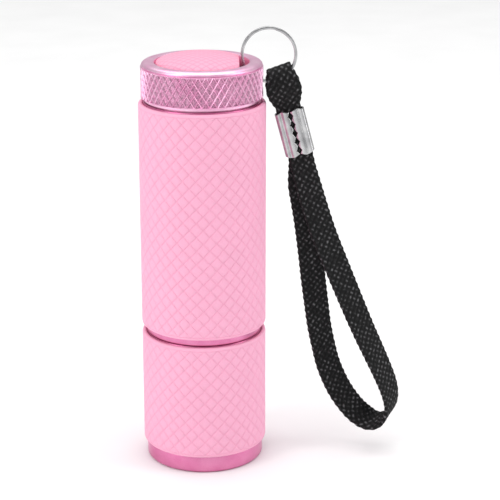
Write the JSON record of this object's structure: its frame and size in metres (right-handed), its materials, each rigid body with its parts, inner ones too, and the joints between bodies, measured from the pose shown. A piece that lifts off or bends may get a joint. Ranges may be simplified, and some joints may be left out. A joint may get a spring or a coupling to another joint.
{
  "type": "uv curing lamp",
  "caption": "Small rubber-gripped UV curing lamp with a lens and LEDs behind a screw-on head, push button, screw-on tail cap and wrist strap on a split ring.",
  "frame": {"origin": "centre of the lens rim's end face, which stands on z = 0", "axes": "+Z along the lamp's axis from the lens to the push button; +X towards the split ring and strap"},
  "size_m": [0.0567, 0.027, 0.0956],
  "materials": {
    "barrel_tube": "anodised pink, satin",
    "barrel_grip": "matte pink rubber with a diamond pattern",
    "battery_holder": "black",
    "battery_1": "metal can under a gloss film sleeve",
    "battery_2": "metal can under a gloss film sleeve",
    "battery_3": "metal can under a gloss film sleeve",
    "front_terminal": "plain",
    "front_link": "plain",
    "rear_terminal": "plain",
    "rear_link": "plain",
    "head_oring": "matte black",
    "head_housing": "anodised pink, satin",
    "head_grip": "matte pink rubber with a diamond pattern",
    "lens": "clear",
    "lens_gasket": "matte black",
    "led_reflector": "bright plated plastic",
    "led_board": "green circuit board",
    "led_retainer": "turned",
    "head_spring": "plated spring wire",
    "uv_led_1": "violet-tinted clear epoxy",
    "uv_led_2": "violet-tinted clear epoxy",
    "uv_led_3": "violet-tinted clear epoxy",
    "uv_led_4": "violet-tinted clear epoxy",
    "uv_led_5": "violet-tinted clear epoxy",
    "uv_led_6": "violet-tinted clear epoxy",
    "uv_led_7": "violet-tinted clear epoxy",
    "uv_led_8": "violet-tinted clear epoxy",
    "uv_led_9": "violet-tinted clear epoxy",
    "tail_oring": "matte black",
    "tail_cap": "anodised pink, satin",
    "switch_housing": "black",
    "switch_board": "green circuit board",
    "switch_retainer": "turned",
    "tail_spring": "plated spring wire",
    "return_spring": "plated spring wire",
    "button_boot": "matte pink rubber",
    "button_plunger": "white",
    "split_ring": "bright plated",
    "strap": "black braided nylon",
    "strap_ferrule": "bright plated"
  },
  "bodies": {
    "barrel": {"barrel_tube": "barrel_tube", "barrel_grip": "barrel_grip", "battery_holder": "battery_holder", "battery_1": "battery_1", "battery_2": "battery_2", "battery_3": "battery_3", "front_terminal": "front_terminal", "front_link": "front_link", "rear_terminal": "rear_terminal", "rear_link": "rear_link"},
    "head_seal": {"head_oring": "head_oring"},
    "head": {"head_housing": "head_housing", "head_grip": "head_grip", "lens": "lens", "lens_gasket": "lens_gasket", "led_reflector": "led_reflector", "led_board": "led_board", "led_retainer": "led_retainer", "head_spring": "head_spring", "uv_led_1": "uv_led_1", "uv_led_2": "uv_led_2", "uv_led_3": "uv_led_3", "uv_led_4": "uv_led_4", "uv_led_5": "uv_led_5", "uv_led_6": "uv_led_6", "uv_led_7": "uv_led_7", "uv_led_8": "uv_led_8", "uv_led_9": "uv_led_9"},
    "tail_seal": {"tail_oring": "tail_oring"},
    "tail_cap": {"tail_cap": "tail_cap", "switch_housing": "switch_housing", "switch_board": "switch_board", "switch_retainer": "switch_retainer", "tail_spring": "tail_spring", "return_spring": "return_spring"},
    "button": {"button_boot": "button_boot", "button_plunger": "button_plunger"},
    "ring": {"split_ring": "split_ring"},
    "strap": {"strap": "strap", "strap_ferrule": "strap_ferrule"}
  },
  "joints": [
    {"name": "head_advance", "type": "slide", "parent": "head", "child": "head_seal", "axis": [0, 0, 1], "range_m": [0, 0.0106]},
    {"name": "head_turn", "type": "hinge", "parent": "head_seal", "child": "barrel", "pos_m": [0, 0, 0.021], "axis": [0, 0, 1], "range_deg": [0, 3780]},
    {"name": "tail_cap_advance", "type": "slide", "parent": "barrel", "child": "tail_seal", "axis": [0, 0, 1], "range_m": [0, 0.0106]},
    {"name": "tail_cap_turn", "type": "hinge", "parent": "tail_seal", "child": "tail_cap", "pos_m": [0, 0, 0.079], "axis": [0, 0, 1], "range_deg": [0, 3780]},
    {"name": "button_press", "type": "slide", "parent": "tail_cap", "child": "button", "axis": [0, 0, -1], "range_m": [0, 0.0016], "stiffness_N_per_m": 1500, "springref_m": -0.0008, "deforming": ["return_spring"]},
    {"name": "ring_swing", "type": "hinge", "parent": "tail_cap", "child": "ring", "pos_m": [0.0111, 0, 0.0851], "axis": [0.7784, 0, -0.6278], "range_deg": [-18, 18]},
    {"name": "strap_swing", "type": "hinge", "parent": "ring", "child": "strap", "pos_m": [0.0162, 0, 0.08464], "axis": [0.9205, 0, 0.3907], "range_deg": [-35, 35]}
  ],
  "couplings": [
    {"joint": "head_advance", "follows": "head_turn", "m_per_rad": 0.00015915},
    {"joint": "tail_cap_advance", "follows": "tail_cap_turn", "m_per_rad": 0.00015915}
  ]
}
